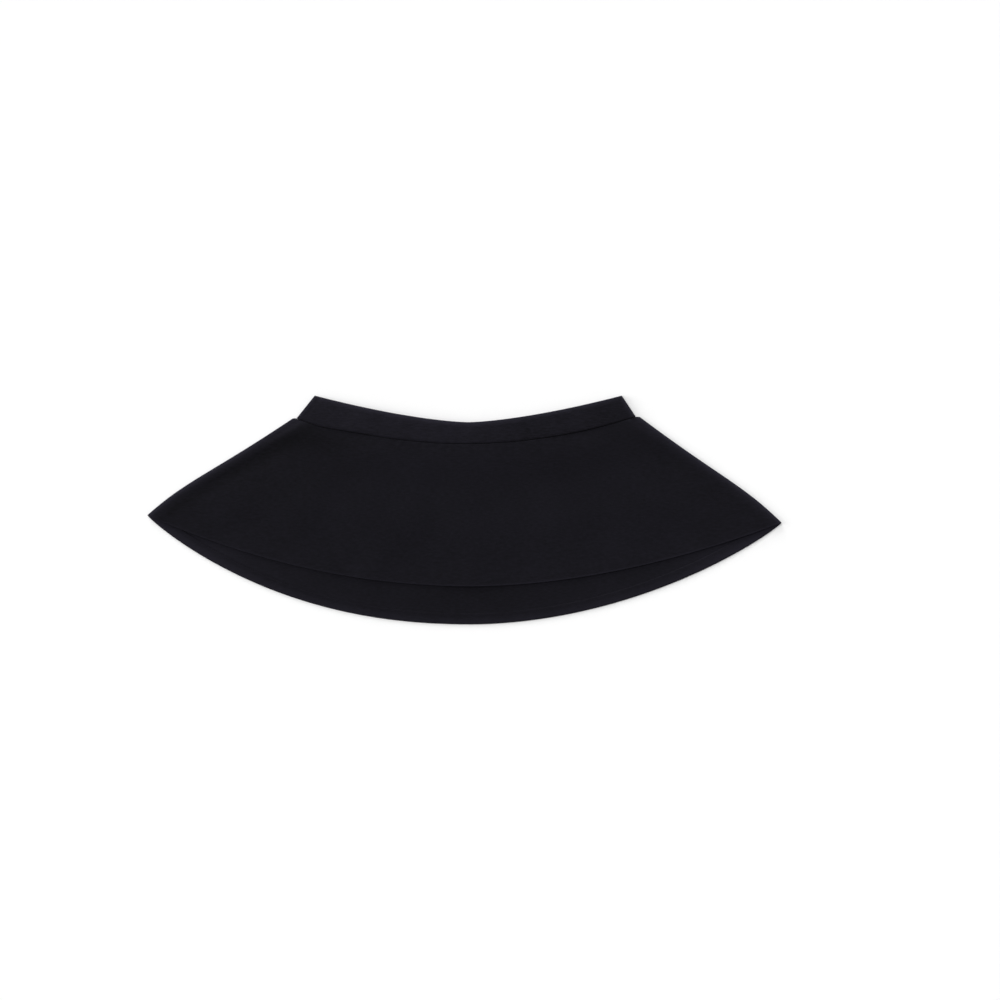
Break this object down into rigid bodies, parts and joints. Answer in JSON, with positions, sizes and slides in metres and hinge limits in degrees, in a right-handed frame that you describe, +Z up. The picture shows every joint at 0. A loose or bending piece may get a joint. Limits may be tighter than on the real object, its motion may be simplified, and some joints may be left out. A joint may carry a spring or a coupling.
{
  "type": "flared pull-on skirt",
  "caption": "Short flared pull-on skirt of plain black double-knit jersey with a contoured waistband and a longer back, lying flat.",
  "frame": {"origin": "middle of the skirt's outline, on the surface that it lies on", "axes": "+X across the skirt towards the right of a viewer who looks down with the waist away from them, +Y from hem to waist, +Z up, out of the front"},
  "size_m": [0.7608, 0.2744, 0.0101],
  "materials": {
    "panel_jersey": "matt black double-knit jersey",
    "band_jersey": "matt black double-knit jersey, two layers over elastic",
    "elastic": "black woven elastic",
    "thread": "black spun polyester thread",
    "label_satin": "blank satin ribbon"
  },
  "bodies": {
    "root": {"front_panel": "panel_jersey", "back_panel": "panel_jersey", "waistband_front": "band_jersey", "waistband_back": "band_jersey", "waistband_facing_front": "band_jersey", "waistband_facing_back": "band_jersey", "waist_elastic": "elastic", "front_hem_overlock": "thread", "back_hem_overlock": "thread", "waist_seam_overlock": "thread", "left_side_seam_overlock": "thread", "right_side_seam_overlock": "thread", "left_band_seam": "thread", "right_band_seam": "thread", "care_label": "label_satin"}
  },
  "joints": []
}
